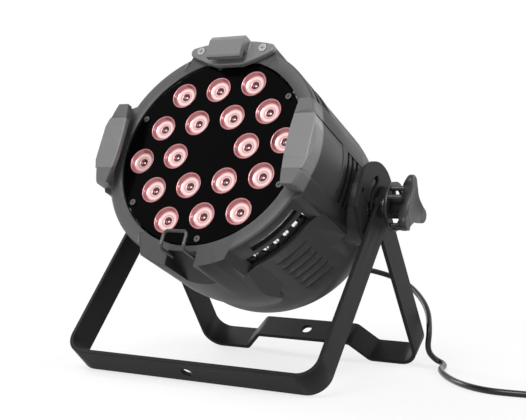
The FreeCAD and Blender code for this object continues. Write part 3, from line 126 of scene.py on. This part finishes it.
# The control points lie 1% outside the turn, and the smooth line between them 1% inside it
outset = math.cos(math.pi / POINTS_PER_TURN) ** 0.5
for step in range(count + 1):
    angle = sweep * step / count
    turned = math.degrees(angle)
    # Outer turn on the floor, inner turn, up to the inner turn above it, then the outer one again
    radius = TURN - PITCH * ease(turned, *STEP_IN) + PITCH * ease(turned, *STEP_OUT)
    height = FLOOR + PITCH * ease(turned, *CLIMB)
    radius = radius / outset
    where = first + angle
    route.append((middle.x + radius * math.cos(where), middle.y + radius * math.sin(where),
                  height))
out = Vector((math.cos(TAIL_ANGLE), math.sin(TAIL_ANGLE), 0))
away = Vector((-out.y, out.x, 0))
leave = middle + out * TURN
for reach in (0.5, 1.0):
    point = leave + away * TAIL * reach
    route.append((point.x, point.y, FLOOR + PITCH))

curve = bpy.data.curves.new("mains_lead", "CURVE")
curve.dimensions = "3D"
curve.resolution_u = 10
spline = curve.splines.new("NURBS")
spline.points.add(len(route) - 1)
for point, place in zip(spline.points, route):
    point.co = (*place, 1)
spline.order_u = 3
spline.use_endpoint_u = True
# A mesh, because the cord bends between two bodies; its middle line is read from the same spline
guide = bpy.data.objects.new("mains_guide", curve)
line = bpy.data.meshes.new_from_object(guide)
curve.bevel_depth = CORD_RADIUS
curve.bevel_resolution = 6
curve.use_fill_caps = True
lead_mesh = bpy.data.meshes.new_from_object(guide)
bpy.data.objects.remove(guide)
lead = add_object("mains_lead", lead_mesh)
for polygon in lead_mesh.polygons:
    polygon.use_smooth = True


# ---- Materials ----
def new_material(name):
    material = bpy.data.materials.new(name)
    material.use_nodes = True
    tree = material.node_tree
    return material, tree, tree.nodes["Principled BSDF"]


def set_inputs(node, values):
    for name, value in values.items():
        node.inputs[name].default_value = value


def add_node(tree, kind, values=None):
    made = tree.nodes.new("ShaderNode" + kind)
    set_inputs(made, values or {})
    return made


GRAIN_SCALE = 900.0
PATCH_SCALE = 22.0
FRONT_PAINTED_LIGHT_AND_GLOSS = (0.1105, 0.1135)    # metres along the beam between which the front's painted lighter shade and glossier paint set in


def fine_coat(name, low, high, rough=(0.42, 0.56), metallic=0.0, bump=0.12, specular=0.5,
              front_painted_light_and_gloss=None):
    """Finish with a fine grain, slow variation in its shade, and uneven gloss.

    An optional pair (shade, specular) gives the lips and clips in front of the ring two things: a
    lighter shade, which is painted light for the light their front faces catch, and a glossier
    paint.
    """
    material, tree, shader = new_material(name)
    link = tree.links.new
    place = add_node(tree, "TexCoord")
    slow = add_node(tree, "TexNoise", {"Scale": PATCH_SCALE, "Detail": 5.0})
    link(place.outputs["Object"], slow.inputs["Vector"])
    ramp = add_node(tree, "ValToRGB")
    ramp.color_ramp.elements[0].position = 0.3
    ramp.color_ramp.elements[0].color = (*low, 1)
    ramp.color_ramp.elements[1].position = 0.7
    ramp.color_ramp.elements[1].color = (*high, 1)
    link(slow.outputs["Fac"], ramp.inputs["Fac"])
    link(ramp.outputs["Color"], shader.inputs["Base Color"])
    grains = add_node(tree, "TexNoise", {"Scale": GRAIN_SCALE, "Detail": 3.0})
    link(place.outputs["Object"], grains.inputs["Vector"])
    gloss = add_node(tree, "MapRange", {"To Min": rough[0], "To Max": rough[1]})
    link(grains.outputs["Fac"], gloss.inputs["Value"])
    link(gloss.outputs["Result"], shader.inputs["Roughness"])
    relief = add_node(tree, "Bump", {"Strength": bump, "Distance": 0.0002})
    link(grains.outputs["Fac"], relief.inputs["Height"])
    link(relief.outputs["Normal"], shader.inputs["Normal"])
    set_inputs(shader, {"Metallic": metallic, "Specular IOR Level": specular})
    # Painted light: from the ring's front onward, the base colour blends to a lighter grey that
    # stands in for the light on the front faces. The higher specular is real gloss.
    if front_painted_light_and_gloss:
        painted_light_grey, gleam = front_painted_light_and_gloss
        along = add_node(tree, "VectorMath")
        along.operation = "DOT_PRODUCT"
        along.inputs[1].default_value = (0, -math.cos(BEAM_UP), math.sin(BEAM_UP))
        link(place.outputs["Object"], along.inputs[0])
        start = PIVOT_Z * math.sin(BEAM_UP) - PIVOT_Y * math.cos(BEAM_UP)
        share = add_node(tree, "MapRange", {"From Min": start + FRONT_PAINTED_LIGHT_AND_GLOSS[0],
                                            "From Max": start + FRONT_PAINTED_LIGHT_AND_GLOSS[1]})
        link(along.outputs["Value"], share.inputs["Value"])
        painted_light_mix = add_node(tree, "Mix")
        painted_light_mix.data_type = "RGBA"
        link(share.outputs["Result"], painted_light_mix.inputs["Factor"])
        link(ramp.outputs["Color"], painted_light_mix.inputs["A"])
        painted_light_mix.inputs["B"].default_value = (painted_light_grey, painted_light_grey, painted_light_grey, 1)
        link(painted_light_mix.outputs["Result"], shader.inputs["Base Color"])
        shine = add_node(tree, "MapRange", {"To Min": specular, "To Max": gleam})
        link(share.outputs["Result"], shine.inputs["Value"])
        link(shine.outputs["Result"], shader.inputs["Specular IOR Level"])
    return material


# The first number of each front pair is a painted lighter shade for the lit lips and clips; the
# second is their gloss.
body_coat = fine_coat("body_coat", (0.015, 0.015, 0.016), (0.021, 0.021, 0.022),
                      rough=(0.36, 0.5), specular=0.22, front_painted_light_and_gloss=(0.075, 0.6))
clip_coat = fine_coat("clip_coat", (0.018, 0.018, 0.019), (0.026, 0.026, 0.027),
                      rough=(0.32, 0.44), specular=0.25, front_painted_light_and_gloss=(0.13, 0.7))
stand_coat = fine_coat("stand_coat", (0.007, 0.007, 0.008), (0.011, 0.011, 0.012),
                       rough=(0.46, 0.6), bump=0.2, specular=0.14)
face_black = fine_coat("face_black", (0.0008, 0.0008, 0.0009), (0.0014, 0.0014, 0.0014),
                       rough=(0.10, 0.16), bump=0.01, specular=0.03)
knob_black = fine_coat("knob_black", (0.010, 0.010, 0.010), (0.016, 0.016, 0.016),
                       rough=(0.34, 0.46), bump=0.05, specular=0.4)
moulded = fine_coat("moulded", (0.008, 0.008, 0.008), (0.013, 0.013, 0.013), rough=(0.4, 0.55),
                    specular=0.25)
gland_nylon = fine_coat("gland_nylon", (0.010, 0.010, 0.010), (0.016, 0.016, 0.016),
                        rough=(0.3, 0.42), specular=0.3)
rubber = fine_coat("rubber", (0.009, 0.009, 0.009), (0.014, 0.014, 0.014), rough=(0.6, 0.75),
                   specular=0.2)
jacket = fine_coat("jacket", (0.006, 0.006, 0.006), (0.010, 0.010, 0.010), rough=(0.24, 0.34),
                   bump=0.05, specular=0.35)
panel_coat = fine_coat("panel_coat", (0.015, 0.015, 0.016), (0.021, 0.021, 0.022), specular=0.22)
zinc = fine_coat("zinc", (0.40, 0.40, 0.41), (0.52, 0.52, 0.53), rough=(0.2, 0.34), metallic=1.0,
                 bump=0.05)
black_steel = fine_coat("black_steel", (0.10, 0.10, 0.10), (0.16, 0.16, 0.16), rough=(0.16, 0.28),
                        metallic=1.0, bump=0.04)
cast = fine_coat("cast", (0.86, 0.86, 0.86), (0.94, 0.94, 0.94), rough=(0.30, 0.42), metallic=0.35)
bright = fine_coat("bright", (0.88, 0.88, 0.88), (0.95, 0.95, 0.95), rough=(0.12, 0.22),
                   metallic=1.0, bump=0.03)
brass = fine_coat("brass", (0.62, 0.46, 0.20), (0.72, 0.56, 0.28), rough=(0.2, 0.32), metallic=1.0,
                  bump=0.04)
wire = fine_coat("wire", (0.022, 0.022, 0.022), (0.032, 0.032, 0.032), rough=(0.26, 0.36),
                 bump=0.04)
window = fine_coat("window", (0.004, 0.004, 0.005), (0.006, 0.006, 0.008), rough=(0.05, 0.09),
                   bump=0.01)
resin = fine_coat("resin", (0.60, 0.50, 0.22), (0.72, 0.62, 0.30), rough=(0.15, 0.25))
supply_grey = fine_coat("supply_grey", (0.34, 0.34, 0.34), (0.42, 0.42, 0.42), rough=(0.4, 0.55))

finish = {
    body_coat: ("housing", "air_guard"),
    clip_coat: ("side_cover_right", "side_cover_left", "top_clip"),
    stand_coat: ("front_bracket", "rear_bracket"),
    face_black: ("face_plate",),
    knob_black: ("knob_right", "knob_left"),
    moulded: ("lens_holders", "dmx_latch", "fuse_holder", "fuse_cap", "display_board",
              "driver_board", "button_menu", "button_down", "button_up", "button_enter",
              "dmx_in_socket", "dmx_out_socket"),
    gland_nylon: ("cord_gland", "gland_nut"),
    rubber: ("panel_gasket", "strain_relief"),
    jacket: ("mains_cord", "cord_coil", "mains_plug"),
    panel_coat: ("rear_panel",),
    zinc: ("spacer_washers", "friction_washers", "knob_washers", "pivot_studs",
           "face_spacers", "heat_sink_screws", "chassis_screws", "top_clip_screws", "panel_screws",
           "dmx_screws", "board_spacers", "safety_eye"),
    black_steel: ("face_screws",),
    cast: ("heat_sink", "led_board", "chassis_plate"),
    brass: ("knob_insert_right", "knob_insert_left", "plug_pins"),
    wire: ("wire_bail",),
    window: ("display_window",),
    resin: ("led_emitters",),
    supply_grey: ("power_supply",),
}
for material, names in finish.items():
    for name in names:
        mesh = nodes[name].data
        mesh.materials.clear()
        mesh.materials.append(material)
lead.data.materials.append(jacket)

# ---- Softened edges on the parts that show, by their width in metres ----
WELD_DISTANCE = 0.00001
SHARP_EDGE = math.radians(32)
edges = {"housing": 0.0008, "front_bracket": 0.0006, "rear_bracket": 0.0006, "top_clip": 0.0009,
         "side_cover_right": 0.0008, "side_cover_left": 0.0008, "knob_right": 0.0006,
         "knob_left": 0.0006, "rear_panel": 0.0004, "air_guard": 0.0003, "mains_plug": 0.0008}
for name, width in edges.items():
    weld = nodes[name].modifiers.new("weld", "WELD")
    weld.merge_threshold = WELD_DISTANCE
    soften = nodes[name].modifiers.new("soften", "BEVEL")
    soften.width = width
    soften.segments = 2
    soften.limit_method = "ANGLE"
    soften.angle_limit = SHARP_EDGE
    soften.harden_normals = True

# ---- Lens optics: rim, stepped rose reflector and a deep red centre with a small dome, with painted light and shade in the ring tints ----
LENS_PITCH = 38.0                 # mm, like the other sizes of the optics
LENS_TURN = 7.8                   # degrees that the pattern is turned
LENS_FRONT = 109.6
AROUND = 48                       # facets round each lens
# 18 lenses on a lattice of triangles, with none in the middle
spots = []
for number in range(6):
    for distance, offset in ((LENS_PITCH, 0), (2 * LENS_PITCH, 0), (LENS_PITCH * math.sqrt(3), 30)):
        a = math.radians(LENS_TURN + offset + 60 * number)
        spots.append((distance * math.cos(a), distance * math.sin(a)))
# Rose is the optic's own tint. The darker wall tint is painted shade on the steep walls. The pale
# tint on the floor rings is partly the optic's pink and partly painted light. The glint is a
# painted highlight on the central dome.
wall_painted_shade, rose, pale_painted_light, deep, painted_glint = ((0.34, 0.10, 0.11), (0.54, 0.24, 0.25), (0.84, 0.62, 0.61),
                                 (0.06, 0.003, 0.006), (0.94, 0.76, 0.75))
# Radius, depth and colour of each ring, from the rim to the middle
profile = [
    (13.25, -1.6, wall_painted_shade), (13.25, -0.15, wall_painted_shade), (12.95, 0.0, wall_painted_shade), (12.3, -0.05, rose),
    (12.0, -0.3, wall_painted_shade), (11.2, -1.6, wall_painted_shade), (10.2, -2.9, wall_painted_shade), (9.7, -3.2, rose),
    (8.3, -3.5, pale_painted_light), (7.0, -3.6, pale_painted_light), (5.6, -3.7, rose), (4.8, -3.7, pale_painted_light),
    (4.1, -3.75, wall_painted_shade), (3.5, -4.2, deep), (2.7, -4.9, deep), (1.9, -5.1, deep),
    (1.4, -5.0, deep), (1.0, -4.8, wall_painted_shade), (0.6, -4.7, painted_glint), (0.0, -4.65, painted_glint),
]
shape = bmesh.new()
tint = shape.loops.layers.float_color.new("tint")
for across, outward in spots:
    rings = []
    for radius, depth, _ in profile[:-1]:
        ring = []
        for k in range(AROUND):
            a = 2 * math.pi * k / AROUND
            ring.append(shape.verts.new(in_head(across + radius * math.cos(a), LENS_FRONT + depth,
                                                outward + radius * math.sin(a))))
        rings.append(ring)
    tip = shape.verts.new(in_head(across, LENS_FRONT + profile[-1][1], outward))
    for i in range(len(rings) - 1):
        for k in range(AROUND):
            m = (k + 1) % AROUND
            face = shape.faces.new((rings[i][k], rings[i][m], rings[i + 1][m], rings[i + 1][k]))
            for loop, which in zip(face.loops, (i, i, i + 1, i + 1)):
                loop[tint] = (*profile[which][2], 1)
    # The central dome gets the near-white painted glint.
    for k in range(AROUND):
        face = shape.faces.new((rings[-1][k], rings[-1][(k + 1) % AROUND], tip))
        for loop in face.loops:
            loop[tint] = (*painted_glint, 1)
for face in shape.faces:
    face.smooth = True
bmesh.ops.recalc_face_normals(shape, faces=shape.faces)
optic_mesh = bpy.data.meshes.new("lens_optics")
shape.to_mesh(optic_mesh)
shape.free()
optics = add_object("lens_optics", optic_mesh)
optic_material, tree, shader = new_material("rose_optic")
tint_node = add_node(tree, "VertexColor")
tint_node.layer_name = "tint"
place = add_node(tree, "TexCoord")
ripple = add_node(tree, "TexNoise", {"Scale": 320.0})
tree.links.new(place.outputs["Object"], ripple.inputs["Vector"])
relief = add_node(tree, "Bump", {"Strength": 0.15, "Distance": 0.0003})
tree.links.new(ripple.outputs["Fac"], relief.inputs["Height"])
tree.links.new(relief.outputs["Normal"], shader.inputs["Normal"])
tree.links.new(tint_node.outputs["Color"], shader.inputs["Base Color"])
set_inputs(shader, {"Metallic": 0.3, "Roughness": 0.17, "Coat Weight": 0.6, "Coat Roughness": 0.05})
optic_mesh.materials.append(optic_material)

# ---- Bright pleated strip of the heat sink, seen between the teeth of the vents ----
STRIP_ENDS = ((66.0, 100.6), (75.0, 94.0))      # mm along the beam, and out from its axis
PLEAT = 0.7                       # height of a pleat in mm
PLEATS = 108
STRIP_THICKNESS = 0.0004          # metres
shape = bmesh.new()
ribs = []
for k in range(2 * PLEATS):
    a = math.pi * k / PLEATS
    rise = PLEAT * (k % 2) - PLEAT / 2
    ribs.append([shape.verts.new(in_head((radius + rise) * math.cos(a), along,
                                         (radius + rise) * math.sin(a)))
                 for along, radius in STRIP_ENDS])
for k, (low, high) in enumerate(ribs):
    next_low, next_high = ribs[(k + 1) % len(ribs)]
    shape.faces.new((low, next_low, next_high, high))
strip_mesh = bpy.data.meshes.new("fin_strip")
shape.to_mesh(strip_mesh)
shape.free()
strip = add_object("fin_strip", strip_mesh)
strip_mesh.materials.append(bright)
thicken = strip.modifiers.new("thicken", "SOLIDIFY")
thicken.thickness = STRIP_THICKNESS

# ---- Who rides where ----
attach(strip, "head")
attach(optics, "head")
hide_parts("lenses")
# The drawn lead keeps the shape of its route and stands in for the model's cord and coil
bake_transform(lead)
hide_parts("mains_cord", "cord_coil")

# ---- Studio ----
HALF_FLOOR = 6                    # metres
PAPER_NEAR = (0.25, 0.72)         # metres from the origin, and the share of plain white there
PAPER_FAR = (0.75, 1.0)
ROOM_LIGHT = 0.4
WHITE = (1, 1, 1, 1)
corners = [(x * HALF_FLOOR, y * HALF_FLOOR, 0) for x, y in ((-1, -1), (1, -1), (1, 1), (-1, 1))]
floor_mesh = bpy.data.meshes.new("floor")
floor_mesh.from_pydata(corners, [], [(0, 1, 2, 3)])
floor = add_object("floor", floor_mesh)


def seen_ray(tree):
    """1 for the rays that show the background: straight, mirrored or through glass."""
    path = add_node(tree, "LightPath")
    total = add_node(tree, "Math")
    total.operation = "ADD"
    tree.links.new(path.outputs["Is Camera Ray"], total.inputs[0])
    tree.links.new(path.outputs["Is Glossy Ray"], total.inputs[1])
    both = add_node(tree, "Math")
    both.operation = "ADD"
    both.use_clamp = True
    tree.links.new(total.outputs[0], both.inputs[0])
    tree.links.new(path.outputs["Is Transmission Ray"], both.inputs[1])
    return both.outputs[0]


# White paper that keeps the light's shadow near it and melts into the backdrop further off
floor_material, tree, shader = new_material("floor_white")
set_inputs(shader, {"Base Color": (0.8, 0.8, 0.8, 1), "Roughness": 0.9, "Specular IOR Level": 0.0})
place = add_node(tree, "TexCoord")
distance = add_node(tree, "VectorMath")
distance.operation = "LENGTH"
tree.links.new(place.outputs["Object"], distance.inputs[0])
share = add_node(tree, "MapRange", {"From Min": PAPER_NEAR[0], "From Max": PAPER_FAR[0],
                                    "To Min": PAPER_NEAR[1], "To Max": PAPER_FAR[1]})
tree.links.new(distance.outputs["Value"], share.inputs["Value"])
shown = add_node(tree, "Math")
shown.operation = "MULTIPLY"
tree.links.new(share.outputs["Result"], shown.inputs[0])
tree.links.new(seen_ray(tree), shown.inputs[1])
paper = add_node(tree, "Emission", {"Strength": 1.0})
blend = add_node(tree, "MixShader")
tree.links.new(shown.outputs[0], blend.inputs["Fac"])
tree.links.new(shader.outputs["BSDF"], blend.inputs[1])
tree.links.new(paper.outputs["Emission"], blend.inputs[2])
tree.links.new(blend.outputs["Shader"], tree.nodes["Material Output"].inputs["Surface"])
floor_mesh.materials.append(floor_material)

world = bpy.data.worlds.new("studio")
bpy.context.scene.world = world
world.use_nodes = True
tree = world.node_tree
tree.nodes.clear()
seen = add_node(tree, "Background", {"Color": WHITE, "Strength": 1.0})
lit = add_node(tree, "Background", {"Color": WHITE, "Strength": ROOM_LIGHT})
mix = add_node(tree, "MixShader")
out_node = add_node(tree, "OutputWorld")
tree.links.new(seen_ray(tree), mix.inputs["Fac"])
tree.links.new(lit.outputs["Background"], mix.inputs[1])
tree.links.new(seen.outputs["Background"], mix.inputs[2])
tree.links.new(mix.outputs["Shader"], out_node.inputs["Surface"])


def softbox(name, place, target, size, power):
    """Rectangular area lamp that faces its target: places and size in metres, power in watts."""
    data = bpy.data.lights.new(name, "AREA")
    data.shape = "RECTANGLE"
    data.size, data.size_y = size
    data.energy = power
    light = add_object(name, data)
    light.location = place
    light.rotation_euler = (Vector(target) - Vector(place)).to_track_quat("-Z", "Y").to_euler()


softbox("key", (0.15, -1.5, 1.6), (0, 0, 0.16), (0.9, 0.9), 34)
softbox("far_left", (-1.5, 0.5, 0.9), (0, 0, 0.18), (0.8, 1.2), 22)
softbox("behind_right", (1.3, 1.2, 0.9), (0, 0, 0.16), (0.6, 1.0), 8)
softbox("edge_strip", (1.5, -0.3, 0.75), (0, 0, 0.16), (0.12, 1.1), 5)

bpy.context.scene.view_settings.view_transform = "Standard"
